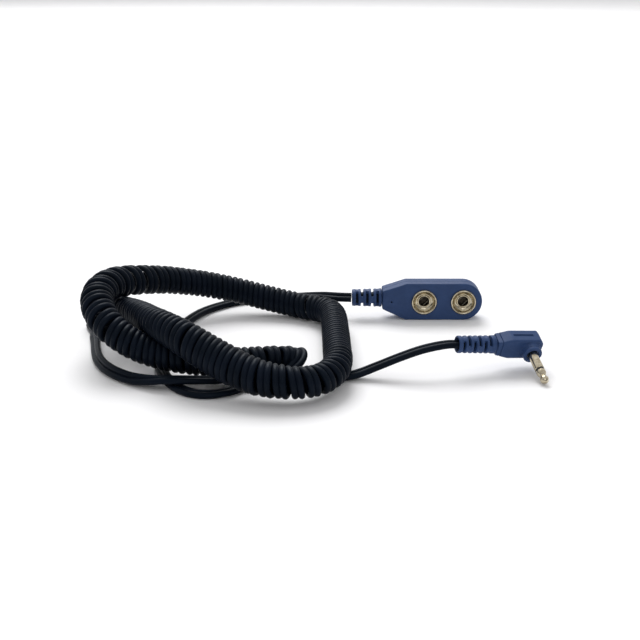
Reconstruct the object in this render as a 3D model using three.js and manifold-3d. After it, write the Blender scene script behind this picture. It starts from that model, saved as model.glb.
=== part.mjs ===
// Dual-conductor coiled ground cord of a wrist strap: a moulded head with two snap
// sockets, a flat twin lead that is coiled over its middle, and a right-angle 3.5 mm plug.
// Millimetres, +Z up. The origin is under the middle of the head, on the table:
// +X runs along the head away from its cord, and the snap face looks along -Y.

import * as THREE from 'three';
import { mergeVertices } from 'three/addons/utils/BufferGeometryUtils.js';
import Module from 'manifold-3d';

const wasm = await Module();
wasm.setup();

// ---- driving dimensions ----

const GAP = 0.3;                 // clearance between neighbouring pieces

// head: a flat case standing on its long edge
const HEAD_HEIGHT = 16.0;
const HEAD_THICK = 8.2;
const HEAD_LENGTH = 42.1;        // neck end to round end
const NECK_ABOVE = 4.65;         // the neck's top over the case's middle height
const NECK_BELOW = 3.25;         // and its bottom under it
const TAPER_LENGTH = 10.0;
const HEAD_RELIEF_LENGTH = 12.4;
const EDGE = 0.8;                // bevel round the case's edges
const WALL = 1.5;                // case side wall
const SKIN = 1.6;                // case front and back wall
const PINHOLE_R = 0.4;
const PINHOLE_X = -10.8;

// lanyard fin on the back of the head
const FIN_HEIGHT = 6.3;
const FIN_THICK = 3.2;
const FIN_HOLE_R = 2.05;
const FIN_HOLE_X = 12.4;
const RIDGES = 6;
const RIDGE_PITCH = 1.7;
const RIDGE_WIDTH = 0.8;
const RIDGE_PROUD = 0.35;

// snap sockets
const SOCKET_SPACING = 16.5;
const RIM_R = 5.3;
const RIM_PROUD = 0.68;
const RIM_SEAT = 0.2;            // depth of the seat that each rim stands over
const SOCKET_BORE_R = 4.9;
const STUD_HOLE_R = 2.1;
const LEG_R = 0.25;              // spring leg wire
const LEG_OFFSET = 1.35;         // leg axis to socket axis
const LEG_HALF = 3.0;
const LEG_DEPTH = 2.2;           // leg axis behind the snap face
const LEG_SLANT = Math.PI / 4;   // the legs lie on the diagonal

// flat twin cord and its coil
const WIRE_D = 2.35;             // one insulated conductor
const CORD_WIDTH = 2 * WIRE_D;
const COIL_R = 5.8;              // outside radius of the coiled cord

// plug
const PLUG_AT = [36, -58, 9];    // where the pin axis meets the body axis
const PLUG_YAW = 13;             // degrees; the body points away from the head's face
const PLUG_PITCH = 5;            // degrees; the body dips towards its far end
const PLUG_ROLL = 22.5;          // degrees; the pin points down to the table
const PLUG_LENGTH = 17.7;
const PLUG_NOSE = 4.6;           // pin axis to the body's far end
const PLUG_HEIGHT = 9.0;
const PLUG_DEPTH = 6.4;
const PLUG_EDGE = 0.9;
const PLUG_RELIEF_LENGTH = 14.6;
const BOSS_R = 3.6;
const BOSS_LENGTH = 2.8;
const PIN_R = 1.75;              // 3.5 mm plug
const PIN_LENGTH = 14.0;
const SLEEVE_LENGTH = 7.35;
const BOSS_RECESS_R = 2.3;       // dished end of the boss, round the pin
const BOSS_RECESS = 0.5;

// ---- worked out from them ----

const ZC = HEAD_HEIGHT / 2;
const DEPTH_ALL = RIM_PROUD + HEAD_THICK + FIN_HEIGHT;
const NECK_Z = ZC + (NECK_ABOVE - NECK_BELOW) / 2;
const FACE_Y = -DEPTH_ALL / 2 + RIM_PROUD;       // snap face
const BACK_Y = FACE_Y + HEAD_THICK;
const MID_Y = FACE_Y + HEAD_THICK / 2;           // parting line
const HALF_X = (HEAD_LENGTH + HEAD_RELIEF_LENGTH + GAP) / 2;
const END_X = HALF_X;                            // round end
const NECK_X = END_X - HEAD_LENGTH;
const ROUND_X = END_X - HEAD_HEIGHT / 2;         // centre of the round end
const TAPER_X = NECK_X + TAPER_LENGTH;
const SOCKETS = { left: ROUND_X - SOCKET_SPACING, right: ROUND_X };

// ---- materials ----

function material(colour, roughness, metalness = 0) {
  return new THREE.MeshStandardMaterial({ color: colour, roughness, metalness });
}

const BLUE = material(0x36476a, 0.5);
const CORD_BLACK = material(0x1a1e26, 0.45);
const INSULATOR = material(0x101010, 0.4);
const NICKEL = material(0xc8c4bc, 0.25, 1);
const SPRING = material(0xb9b6ae, 0.3, 1);
const COPPER = material(0xb87333, 0.35, 1);
const RESISTOR = material(0xc9b48a, 0.6);

// ---- helpers ----

const group = new THREE.Group();

function toSolid(geometry) {
  let bare = geometry.index ? geometry.toNonIndexed() : geometry.clone();
  bare.deleteAttribute('normal');
  bare.deleteAttribute('uv');
  bare = mergeVertices(bare, 1e-4);
  const vertProperties = new Float32Array(bare.attributes.position.array);
  const triVerts = new Uint32Array(bare.index.array);
  return new wasm.Manifold(new wasm.Mesh({ numProp: 3, vertProperties, triVerts }));
}

function toGeometry(solid) {
  const mesh = solid.getMesh();
  const geometry = new THREE.BufferGeometry();
  geometry.setAttribute('position', new THREE.BufferAttribute(mesh.vertProperties, 3));
  geometry.setIndex(new THREE.BufferAttribute(mesh.triVerts, 1));
  return geometry;
}

function add(name, shape, look, parent = group) {
  const geometry = shape.isBufferGeometry ? shape : toGeometry(shape);
  geometry.computeVertexNormals();
  const mesh = new THREE.Mesh(geometry, look);
  mesh.name = name;
  parent.add(mesh);
  return mesh;
}

function boxSolid(low, high) {
  const size = high.map((v, i) => v - low[i]);
  const geometry = new THREE.BoxGeometry(...size);
  geometry.translate(...low.map((v, i) => v + size[i] / 2));
  return toSolid(geometry);
}

// a cylinder along X, Y or Z from one end coordinate to the other
function rod(axis, radius, from, to, centre, sides = 24) {
  const geometry = new THREE.CylinderGeometry(radius, radius, to - from, sides);
  if (axis === 'x') geometry.rotateZ(-Math.PI / 2);
  if (axis === 'z') geometry.rotateX(Math.PI / 2);
  const middle = (from + to) / 2;
  if (axis === 'x') geometry.translate(middle, centre[0], centre[1]);
  if (axis === 'y') geometry.translate(centre[0], middle, centre[1]);
  if (axis === 'z') geometry.translate(centre[0], centre[1], middle);
  return toSolid(geometry);
}

// a profile of [radius, depth], in either direction, as the points of a closed lathe
function lathe(profile, segments) {
  const points = profile.map(([r, d]) => new THREE.Vector2(r, d));
  if (THREE.ShapeUtils.area(points) < 0) points.reverse();
  if (points[0].x > 0) points.push(points[0].clone());
  return new THREE.LatheGeometry(points, segments);
}

// a profile turned about a line along Y, with depth along +Y
function turned(profile, x, y, z, segments) {
  const geometry = lathe(profile, segments);
  geometry.translate(x, y, z);
  return geometry;
}

// an outline in X and Z extruded from y0 to y1, with an optional bevel at both ends
function slab(outline, y0, y1, bevel = 0, arcSteps = 12) {
  const geometry = new THREE.ExtrudeGeometry(outline, {
    depth: y1 - y0 - 2 * bevel,
    bevelEnabled: bevel > 0,
    bevelThickness: bevel,
    bevelSize: bevel,
    bevelOffset: -bevel,
    bevelSegments: 1,
    curveSegments: arcSteps,
  });
  geometry.rotateX(Math.PI / 2);
  geometry.translate(0, y1 - bevel, 0);
  return toSolid(geometry);
}

// a route whose cross-section keeps a chosen tilt: rolls are degrees about the route,
// 0 with the flat side down and 90 standing on its edge
class FlatRoute extends THREE.CatmullRomCurve3 {
  constructor(stops) {
    super(stops.map(([x, y, z]) => new THREE.Vector3(x, y, z)), false, 'centripetal');
    this.rolls = stops.map((stop) => stop[3] ?? 0);
  }

  computeFrenetFrames(segments) {
    const tangents = [];
    const normals = [];
    const binormals = [];
    const up = new THREE.Vector3(0, 0, 1);
    for (let i = 0; i <= segments; i++) {
      const t = this.getUtoTmapping(i / segments);
      const tangent = this.getTangent(t);
      const along = t * (this.rolls.length - 1);
      const k = Math.min(Math.floor(along), this.rolls.length - 2);
      const roll = THREE.MathUtils.lerp(this.rolls[k], this.rolls[k + 1], along - k);
      const side = new THREE.Vector3().crossVectors(up, tangent).normalize();
      side.applyAxisAngle(tangent, THREE.MathUtils.degToRad(roll));
      tangents.push(tangent);
      normals.push(side);
      binormals.push(new THREE.Vector3().crossVectors(tangent, side));
    }
    return { tangents, normals, binormals };
  }
}

function swept(section, route, steps) {
  return new THREE.ExtrudeGeometry(section, { steps, bevelEnabled: false, extrudePath: route });
}

function roundSection(radius, sides) {
  const outline = new THREE.Shape();
  for (let i = 0; i < sides; i++) {
    const angle = ((i + 0.5) / sides) * 2 * Math.PI;
    const x = radius * Math.cos(angle);
    const y = radius * Math.sin(angle);
    if (i === 0) outline.moveTo(x, y);
    else outline.lineTo(x, y);
  }
  outline.closePath();
  return outline;
}

// ---- head case ----

function taperSlope(neckSide) {
  return (HEAD_HEIGHT / 2 - neckSide) / TAPER_LENGTH;
}

// one side of the taper moved inwards by inset: its height at the neck and where it ends in X
function taperSide(neckSide, inset) {
  const slope = taperSlope(neckSide);
  const shift = inset * Math.hypot(1, slope);
  return [neckSide + slope * inset - shift, TAPER_X + (shift - inset) / slope];
}

// the case's side outline, moved inwards by inset
function headOutline(inset) {
  const half = HEAD_HEIGHT / 2 - inset;
  const neckX = NECK_X + inset;
  const [low, lowTaperX] = taperSide(NECK_BELOW, inset);
  const [high, highTaperX] = taperSide(NECK_ABOVE, inset);
  const outline = new THREE.Shape();
  outline.moveTo(neckX, ZC - low);
  outline.lineTo(lowTaperX, ZC - half);
  outline.lineTo(ROUND_X, ZC - half);
  outline.absarc(ROUND_X, ZC, half, -Math.PI / 2, Math.PI / 2, false);
  outline.lineTo(highTaperX, ZC + half);
  outline.lineTo(neckX, ZC + high);
  outline.closePath();
  return outline;
}

const RELIEF_STUB_R = 2.5;
const RELIEF_STUB = 2.6;         // how far the strain relief reaches into the neck

function headShell(frontHalf) {
  const far = 60;
  const low = frontHalf ? FACE_Y - 1 : MID_Y + GAP / 2;
  const high = frontHalf ? MID_Y - GAP / 2 : BACK_Y + 1;
  const half = boxSolid([-far, low, -1], [far, high, HEAD_HEIGHT + 1]);
  const body = slab(headOutline(0), FACE_Y, BACK_Y, EDGE);
  const cavity = slab(headOutline(WALL), FACE_Y + SKIN, BACK_Y - SKIN);
  const neckBore = rod('x', RELIEF_STUB_R + GAP, NECK_X - 1, NECK_X + 3, [MID_Y, NECK_Z]);
  return body.intersect(half).subtract(cavity).subtract(neckBore);
}

function frontShell() {
  let shell = headShell(true);
  for (const x of Object.values(SOCKETS)) {
    const bore = rod('y', SOCKET_BORE_R, FACE_Y - 1, MID_Y, [x, ZC], 32);
    const seat = rod('y', RIM_R + GAP, FACE_Y - 1, FACE_Y + RIM_SEAT, [x, ZC], 32);
    shell = shell.subtract(bore).subtract(seat);
  }
  return shell.subtract(rod('y', PINHOLE_R, FACE_Y - 1, MID_Y, [PINHOLE_X, ZC], 8));
}

function fin() {
  const root = BACK_Y - 0.6;
  const top = BACK_Y + FIN_HEIGHT;
  const bevel = 0.4;
  const outline = new THREE.Shape();
  outline.moveTo(NECK_X + 11.3, root);
  outline.lineTo(NECK_X + 20.5, top);
  outline.lineTo(NECK_X + 32.3, top);
  outline.lineTo(NECK_X + 40.8, BACK_Y + 1.7);
  outline.lineTo(NECK_X + 40.8, root);
  outline.closePath();
  const geometry = new THREE.ExtrudeGeometry(outline, {
    depth: FIN_THICK - 2 * bevel,
    bevelEnabled: true,
    bevelThickness: bevel,
    bevelSize: bevel,
    bevelOffset: -bevel,
    bevelSegments: 1,
  });
  geometry.translate(0, 0, ZC - FIN_THICK / 2 + bevel);
  const holeY = BACK_Y + FIN_HEIGHT / 2;
  const hole = rod('z', FIN_HOLE_R, ZC - FIN_THICK, ZC + FIN_THICK, [FIN_HOLE_X, holeY]);
  return toSolid(geometry).subtract(hole);
}

function rearShell() {
  let shell = headShell(false).add(fin());
  for (let i = 0; i < RIDGES; i++) {
    const x = NECK_X + 1.9 + i * RIDGE_PITCH;
    const [below, above] = [NECK_BELOW, NECK_ABOVE].map(
      (side) => side + taperSlope(side) * (x - NECK_X) - EDGE - 0.3);
    const low = [x - RIDGE_WIDTH / 2, BACK_Y - 0.4, ZC - below];
    const high = [x + RIDGE_WIDTH / 2, BACK_Y + RIDGE_PROUD, ZC + above];
    shell = shell.add(boxSolid(low, high));
  }
  return shell;
}

// ---- strain relief: a moulded sleeve cut by slots that alternate by a quarter turn ----

function slottedSleeve(radius, length, slots, pitch, slotWidth, firstSlot, coreRadius) {
  let sleeve = rod('x', radius, 0, length, [0, 0], 24);
  for (let i = 0; i < slots; i++) {
    const from = firstSlot + i * pitch;
    const to = from + slotWidth;
    const core = rod('x', coreRadius, from - 1, to + 1, [0, 0], 16);
    const wide = radius + 1;
    const bridge = radius * 0.42;
    const across = i % 2 === 0 ? [bridge, wide] : [wide, bridge];
    const link = boxSolid([from - 1, -across[0], -across[1]], [to + 1, across[0], across[1]]);
    sleeve = sleeve.subtract(rod('x', wide, from, to, [0, 0], 24).subtract(core.add(link)));
  }
  return sleeve;
}

function headRelief() {
  const radius = 3.8;
  const sleeve = slottedSleeve(radius, HEAD_RELIEF_LENGTH, 5, 2.15, 1.0, 1.6, 2.5);
  const stub = rod('x', RELIEF_STUB_R, HEAD_RELIEF_LENGTH - 0.5,
    HEAD_RELIEF_LENGTH + GAP + RELIEF_STUB, [0, 0], 16);
  return sleeve.add(stub).translate([-HALF_X, MID_Y, NECK_Z]);
}

// ---- snap sockets ----

// a rolled rim, a dished funnel and a raised collar round the stud hole
const CUP_PROFILE = [
  [5.3, -0.36], [5.18, -0.58], [4.95, -RIM_PROUD], [4.7, -0.58], [4.5, -0.25],
  [4.15, 0.35], [3.65, 0.95], [3.15, 1.25], [2.85, 1.3], [2.78, 0.95],
  [2.6, 0.75], [2.35, 0.75], [2.16, 0.95], [STUD_HOLE_R, 1.3], [STUD_HOLE_R, 1.7],
  [3.3, 1.7], [3.95, 1.35], [4.45, 0.7], [4.72, 0.15], [4.72, -0.1], [5.18, -0.1],
  [5.3, -0.2],
];

// the dish that closes the spring's chamber, with the post that the solder lug sits on
const BACK_PROFILE = [
  [0, 2.75], [3.9, 2.75], [4.0, 2.0], [4.4, 2.0], [4.4, 3.15],
  [1.1, 3.15], [1.1, 4.2], [0, 4.2],
];

function socketBack(x) {
  return turned(BACK_PROFILE, x, FACE_Y, ZC, 24);
}

// side is +1 for the upper leg and -1 for the lower one; each leg ends in a short hook
function springLeg(x, side) {
  const hook = 0.7;
  const stops = [
    [-LEG_HALF, 0], [-LEG_HALF / 2, 0], [0, 0], [LEG_HALF / 2, 0],
    [LEG_HALF - 0.5, 0], [LEG_HALF - 0.1, -hook * 0.35], [LEG_HALF + 0.1, -hook],
  ];
  const route = new THREE.CatmullRomCurve3(stops.map(([a, b]) => {
    const along = a * side;
    const across = (LEG_OFFSET + b) * side;
    return new THREE.Vector3(
      x + along * Math.cos(LEG_SLANT) - across * Math.sin(LEG_SLANT),
      FACE_Y + LEG_DEPTH,
      ZC + along * Math.sin(LEG_SLANT) + across * Math.cos(LEG_SLANT),
    );
  }));
  return swept(roundSection(LEG_R, 8), route, 12);
}

const LUG_RING_R = 2.5;
const LUG_REACH = 5.0;
const LUG_DEPTH = [3.45, 3.85];

function solderLug(x) {
  const [front, back] = LUG_DEPTH.map((d) => FACE_Y + d);
  const ring = rod('y', LUG_RING_R, front, back, [x, ZC], 24);
  const tongue = boxSolid([x - LUG_REACH, front, ZC - 0.8], [x, back, ZC + 0.8]);
  return ring.add(tongue).subtract(rod('y', 1.1 + GAP, front - 1, back + 1, [x, ZC], 16));
}

// ---- inside the head ----

const RESISTOR_Z = { upper: NECK_Z + 1.9, lower: NECK_Z - 1.9 };
const RESISTOR_FROM = NECK_X + 4.0;
const RESISTOR_TO = RESISTOR_FROM + 7.2;
const INNER_Y = MID_Y + 0.1;

// a body with rounded end caps on its two lead wires, turned about X
function resistor(z) {
  const length = RESISTOR_TO - RESISTOR_FROM;
  const profile = [
    [0, 0], [0.3, 0], [0.3, 1.0], [0.9, 1.1], [1.15, 1.5], [1.15, 2.2], [1.0, 2.5],
    [1.0, length - 2.5], [1.15, length - 2.2], [1.15, length - 1.5],
    [0.9, length - 1.1], [0.3, length - 1.0], [0.3, length], [0, length],
  ];
  const geometry = lathe(profile, 16);
  geometry.rotateZ(-Math.PI / 2);
  geometry.translate(RESISTOR_FROM, INNER_Y, z);
  return geometry;
}

function conductorTail(z) {
  return rod('x', 0.6, NECK_X + RELIEF_STUB + GAP, RESISTOR_FROM - GAP, [INNER_Y, z], 12);
}

function linkWire(stops, steps) {
  const points = stops.map(([x, y, z]) => new THREE.Vector3(x, y, z));
  return swept(roundSection(0.45, 8), new THREE.CatmullRomCurve3(points), steps);
}

// ---- cord ----

// the flat twin's outline: width across, one wire high, its corners cut round
function cordSection() {
  const half = CORD_WIDTH / 2;
  const high = WIRE_D / 2;
  const cut = 0.7;
  const outline = new THREE.Shape();
  outline.moveTo(half, high - cut);
  outline.lineTo(half - cut, high);
  outline.lineTo(-half + cut, high);
  outline.lineTo(-half, high - cut);
  outline.lineTo(-half, -high + cut);
  outline.lineTo(-half + cut, -high);
  outline.lineTo(half - cut, -high);
  outline.lineTo(half, -high + cut);
  outline.closePath();
  return outline;
}

// [x, y, z, roll] of the lead's middle, from the head to the near end of the coil
const HEAD_LEAD = [
  [-HALF_X - GAP, MID_Y, NECK_Z, -25],
  [-33, -2.2, 8.7, -25],
  [-39, 1.6, 7.9, -20],
  [-46, 7.4, 6.1, -8],
  [-54, 13.2, 3.8, 0],
  [-62, 16.4, 2.1, 0],
  [-70, 16.4, 1.3, 0],
  [-78.5, 13, 1.25, 0],
  [-86, 7, 1.25, 0],
  [-91.5, 0, 1.25, 0],
  [-95.5, -9, 1.25, 0],
  [-98.5, -20, 1.25, 0],
  [-100, -34, 1.25, 0],
  [-100.5, -48, 1.25, 0],
  [-100, -60, 1.25, 0],
  [-97.5, -69, 1.25, 0],
  [-92, -79, 1.25, 0],
  [-86.5, -84, 1.25, 0],
  [-80.5, -85.6, 1.25, 0],
  [-74, -83.6, 1.25, 0],
  [-68.5, -79.2, 1.25, 0],
  [-64, -74.6, 1.25, 0],
  [-58.5, -72.4, 1.3, 0],
  [-53, -71.2, 1.6, 10],
  [-48.6, -70.4, 2.4, 50],
  [-45.7, -66.4, 3.8, 90],
  [-45.7, -63, 5.0, 90],
  [-47.3, -60, 5.9, 90],
];

// [x, y, z] of the coil's axis, from the end that meets the head's lead to the plug's
const COIL_AXIS = [
  [-50, -62.3, 5.6], [-58.5, -65.1, 5.7], [-70.8, -67.3, 5.8], [-83, -68.2, 6.5],
  [-90.8, -68.5, 7.6], [-96.7, -67.9, 8.6], [-102.5, -66.9, 9.9], [-107.7, -65.8, 11.7],
  [-112.9, -64, 14.2], [-117.8, -61.4, 17.3], [-121.6, -57, 20.2], [-124.1, -51, 22.4],
  [-125.1, -43.1, 23.7], [-124.3, -34.9, 23.9], [-122.2, -27, 23.1], [-118.8, -20.7, 21.9],
  [-114.5, -15.5, 20.6], [-109.6, -10.8, 19.2], [-104.5, -6.9, 17.8], [-99.1, -3.9, 16.3],
  [-93.6, -1.4, 14.8], [-87.5, 0.5, 13.2], [-76.1, 1.5, 10.4], [-64.1, -0.2, 7.8],
  [-52.5, -3.2, 5.9], [-47, -6.1, 5.7], [-41.8, -9, 5.8], [-38.2, -13, 6.3],
  [-36, -19.5, 7], [-35, -42.1, 7.7], [-34.7, -62.5, 8.1], [-34.6, -71.4, 8.2],
  [-35.7, -78.4, 7.9], [-38.3, -83.5, 7.5], [-41.7, -87, 7.3], [-46.1, -89.3, 7.4],
  [-50.9, -90.3, 7.7], [-60.7, -89.3, 8.8], [-69.1, -86, 10.7], [-77.7, -81.6, 13.7],
  [-82.1, -79.5, 15.6], [-86.6, -77, 17.5], [-91.5, -72.8, 18.8], [-96.9, -66.9, 19.2],
  [-102.1, -59.2, 18.5], [-107.3, -49, 16.8], [-112.7, -39.1, 14.8], [-118.1, -30.2, 12.8],
  [-124.2, -21.7, 10.9], [-129.6, -14.9, 9], [-133.2, -12.2, 7.8], [-136.2, -11.1, 6.8],
];

// [x, y, z, roll] of the lead's middle, from the far end of the coil to the plug
const PLUG_LEAD = [
  [-140.6, -15.1, 1.3, 0], [-139.8, -17.4, 1.4, 5], [-138, -20.4, 1.7, 15], [-134.2, -26, 2.1, 35],
  [-131, -31.8, 2.35, 50], [-129, -39, 2.4, 50], [-126.8, -48, 2.4, 50], [-124, -56.5, 2.4, 50],
  [-119.8, -64, 2.4, 50], [-114.5, -70, 2.4, 50], [-108, -74.8, 2.5, 40], [-101.5, -77.8, 3.2, 15],
  [-96, -79.2, 3.9, 0], [-90, -79.6, 4.05, 0], [-84, -78.6, 3.6, 0], [-78, -77, 3, 0],
  [-71, -76.9, 3.8, 0], [-64, -77.5, 4.05, 0], [-57, -77.6, 3.2, 0], [-50, -76.8, 1.9, 0],
  [-42, -74.2, 1.3, 0], [-34, -70.8, 1.3, 0], [-28, -69.7, 2, 0], [-20, -68.6, 4.8, 0],
  [-12, -67.8, 7.9, 0], [-3.5, -66.8, 10.6, 0],
];

// ---- plug ----

const plug = new THREE.Group();
const DEGREE = Math.PI / 180;
plug.position.set(...PLUG_AT);
plug.rotation.set(PLUG_ROLL * DEGREE, PLUG_PITCH * DEGREE, PLUG_YAW * DEGREE, 'ZYX');
plug.updateMatrixWorld(true);

const PLUG_BACK = PLUG_NOSE - PLUG_LENGTH;       // body end at the strain relief
const PLUG_TAIL = PLUG_BACK - GAP - PLUG_RELIEF_LENGTH;
const BOSS_END = PLUG_DEPTH / 2 + BOSS_LENGTH;   // pin starts here, along -Y

// the place in the row's frame of a point in the plug's own frame
function fromPlug(x, y, z) {
  return new THREE.Vector3(x, y, z).applyMatrix4(plug.matrixWorld).toArray();
}

function plugBody() {
  const half = PLUG_HEIGHT / 2;
  const chamfer = 1.4;
  const waist = 1.3;             // the body narrows a little towards its strain relief
  const outline = new THREE.Shape();
  outline.moveTo(PLUG_BACK, -half + waist);
  outline.lineTo(PLUG_BACK + 5, -half);
  outline.lineTo(PLUG_NOSE - chamfer, -half);
  outline.lineTo(PLUG_NOSE, -half + chamfer);
  outline.lineTo(PLUG_NOSE, half - chamfer);
  outline.lineTo(PLUG_NOSE - chamfer, half);
  outline.lineTo(PLUG_BACK + 5, half);
  outline.lineTo(PLUG_BACK, half - waist);
  outline.closePath();
  const side = PLUG_DEPTH / 2;
  const body = slab(outline, -side, side, PLUG_EDGE);
  const boss = rod('y', BOSS_R, -BOSS_END, -side + 1, [0, 0], 32);
  const cavity = boxSolid([PLUG_BACK + 2, -2.1, -2.4], [3.6, 2.1, 2.4]);
  const flangeBore = rod('y', 2.6, -BOSS_END + 1, 0, [0, 0], 24);
  const sleeveBore = rod('y', PIN_R + 0.25, -BOSS_END - 1, 0, [0, 0], 24);
  const recess = rod('y', BOSS_RECESS_R, -BOSS_END - 1, -BOSS_END + BOSS_RECESS, [0, 0], 24);
  const cordBore = rod('x', 1.9, PLUG_BACK - 1, PLUG_BACK + 3, [0, 0], 16);
  return body.add(boss).subtract(cavity).subtract(flangeBore).subtract(sleeveBore)
    .subtract(recess).subtract(cordBore);
}

function plugRelief() {
  const sleeve = slottedSleeve(3.35, PLUG_RELIEF_LENGTH, 6, 2.05, 1.0, 1.5, 2.2);
  const from = PLUG_RELIEF_LENGTH - 0.5;
  const stub = rod('x', 1.6, from, PLUG_RELIEF_LENGTH + GAP + 1.8, [0, 0], 16);
  return sleeve.add(stub).translate([PLUG_TAIL, 0, 0]);
}

// the pin's pieces are turned about the pin axis; depth is measured out of the boss
function pinPart(profile) {
  return turned(profile.map(([r, d]) => [r, -BOSS_END - d]), 0, 0, 0, 24);
}

const SLEEVE_PROFILE = [
  [0.95, -3.6], [2.35, -3.6], [2.35, -1.3], [PIN_R, -1.3], [PIN_R, SLEEVE_LENGTH - 0.2],
  [PIN_R - 0.15, SLEEVE_LENGTH], [0.95, SLEEVE_LENGTH],
];

const INSULATOR_PROFILE = [
  [0.55, -4.6], [1.6, -4.6], [1.6, -3.75], [0.82, -3.75], [0.82, 7.47], [1.62, 7.47],
  [1.7, 7.55], [1.7, 8.0], [1.62, 8.1], [0.55, 8.1],
];

const TIP_PROFILE = [
  [0, -6.0], [0.42, -6.0], [0.42, 8.22], [1.6, 8.22], [PIN_R, 8.35], [PIN_R, 9.2],
  [1.5, 9.8], [1.15, 10.6], [1.1, 10.9], [1.3, 11.3], [1.55, 11.8], [1.6, 12.3],
  [1.45, 12.95], [1.1, 13.5], [0.6, 13.88], [0, PIN_LENGTH],
];

const PLUG_LUG_THICK = 0.4;

function sleeveLug() {
  const front = -1.95;
  const plate = boxSolid([-5.2, front, -1.9], [2.3, front + PLUG_LUG_THICK, 1.9]);
  return plate.subtract(rod('y', 1.6 + GAP / 2, front - 1, front + 1, [0, 0], 16));
}

function tipLug() {
  const front = 0.1;
  return boxSolid([-4.6, front, -0.9], [0.9, front + PLUG_LUG_THICK, 0.9]);
}

function plugTail(y, z) {
  const from = PLUG_BACK + 1.8 + GAP;
  return rod('x', 0.6, from, -5.6, [y, z], 12);
}

// ---- assembly ----

add('head_front_shell', frontShell(), BLUE);
add('head_rear_shell', rearShell(), BLUE);
add('head_strain_relief', headRelief(), BLUE);

for (const [place, x] of Object.entries(SOCKETS)) {
  add(`socket_cup_${place}`, turned(CUP_PROFILE, x, FACE_Y, ZC, 24), NICKEL);
  add(`socket_back_${place}`, socketBack(x), NICKEL);
  add(`spring_leg_upper_${place}`, springLeg(x, 1), SPRING);
  add(`spring_leg_lower_${place}`, springLeg(x, -1), SPRING);
  add(`solder_lug_${place}`, solderLug(x), NICKEL);
}

for (const [place, z] of Object.entries(RESISTOR_Z)) {
  add(`resistor_${place}`, resistor(z), RESISTOR);
  add(`head_conductor_${place}`, conductorTail(z), COPPER);
}

const LUG_WIRE_Y = FACE_Y + LUG_DEPTH[1] + 0.7;
add('link_wire_left', linkWire([
  [RESISTOR_TO + 0.5, INNER_Y, RESISTOR_Z.upper],
  [SOCKETS.left - LUG_REACH - 0.4, LUG_WIRE_Y + 0.5, ZC + 1.4],
  [SOCKETS.left - LUG_REACH + 1.4, LUG_WIRE_Y, ZC],
], 8), CORD_BLACK);
add('link_wire_right', linkWire([
  [RESISTOR_TO + 0.5, INNER_Y, RESISTOR_Z.lower],
  [SOCKETS.left - 3.4, LUG_WIRE_Y + 0.5, ZC - 3.6],
  [SOCKETS.left + 2.5, LUG_WIRE_Y + 0.6, ZC - 4.6],
  [SOCKETS.right - LUG_REACH - 2.5, LUG_WIRE_Y + 0.5, ZC - 2.4],
  [SOCKETS.right - LUG_REACH + 1.4, LUG_WIRE_Y, ZC],
], 16), CORD_BLACK);

add('head_lead', swept(cordSection(), new FlatRoute(HEAD_LEAD), 76), CORD_BLACK);
add('coil', swept(roundSection(COIL_R, 12), new FlatRoute(COIL_AXIS), 72), CORD_BLACK);
const plugLeadRoute = [...PLUG_LEAD, [...fromPlug(PLUG_TAIL - 3.5, 0, 0), 0],
  [...fromPlug(PLUG_TAIL - GAP, 0, 0), 0]];
add('plug_lead', swept(cordSection(), new FlatRoute(plugLeadRoute), 76), CORD_BLACK);

add('plug_body', plugBody(), BLUE, plug);
add('plug_strain_relief', plugRelief(), BLUE, plug);
add('plug_sleeve', pinPart(SLEEVE_PROFILE), NICKEL, plug);
add('plug_insulator', pinPart(INSULATOR_PROFILE), INSULATOR, plug);
add('plug_tip', pinPart(TIP_PROFILE), NICKEL, plug);
add('plug_sleeve_lug', sleeveLug(), NICKEL, plug);
add('plug_tip_lug', tipLug(), NICKEL, plug);
add('plug_conductor_sleeve', plugTail(-0.9, 0.9), COPPER, plug);
add('plug_conductor_tip', plugTail(0.9, -0.9), COPPER, plug);
group.add(plug);

export default group;
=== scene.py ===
import math

import bmesh
import bpy
import numpy as np
from mathutils import Matrix, Vector


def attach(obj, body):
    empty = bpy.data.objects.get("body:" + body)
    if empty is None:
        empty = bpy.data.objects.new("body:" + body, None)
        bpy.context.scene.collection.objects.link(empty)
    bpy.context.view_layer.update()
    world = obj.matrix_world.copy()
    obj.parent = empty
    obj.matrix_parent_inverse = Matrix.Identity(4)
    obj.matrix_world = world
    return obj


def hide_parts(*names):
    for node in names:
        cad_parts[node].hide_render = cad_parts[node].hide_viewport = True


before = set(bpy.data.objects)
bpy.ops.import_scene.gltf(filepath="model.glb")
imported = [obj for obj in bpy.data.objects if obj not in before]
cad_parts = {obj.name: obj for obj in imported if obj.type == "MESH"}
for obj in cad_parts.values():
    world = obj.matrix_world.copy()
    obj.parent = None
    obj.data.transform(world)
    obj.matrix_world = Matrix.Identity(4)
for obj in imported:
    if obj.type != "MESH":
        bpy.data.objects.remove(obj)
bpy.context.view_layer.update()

# A coiled wrist-strap ground cord: a blue head with two snap sockets, a black flat twin
# cord that is coiled over its middle, and a blue right-angle plug. Metres, +Z up; the
# snap face looks along -Y, and the head's cord leaves it along -X.

MM = 0.001
BODY = "cord_set"                 # everything but the springs' legs is one body

# ---- camera ----

LOOK_AT = Vector((-0.041, -0.0069, 0.0))
CAMERA_DISTANCE = 0.408
CAMERA_ELEVATION = math.radians(20)
LENS = 54.1


def make_camera():
    data = bpy.data.cameras.new("camera")
    data.lens = LENS
    data.sensor_width = 36
    camera = bpy.data.objects.new("camera", data)
    bpy.context.scene.collection.objects.link(camera)
    back = Vector((0, -math.cos(CAMERA_ELEVATION), math.sin(CAMERA_ELEVATION)))
    camera.location = LOOK_AT + back * CAMERA_DISTANCE
    camera.rotation_euler = (math.pi / 2 - CAMERA_ELEVATION, 0, 0)
    bpy.context.scene.camera = camera


make_camera()

# ---- node helpers for the materials ----


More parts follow.
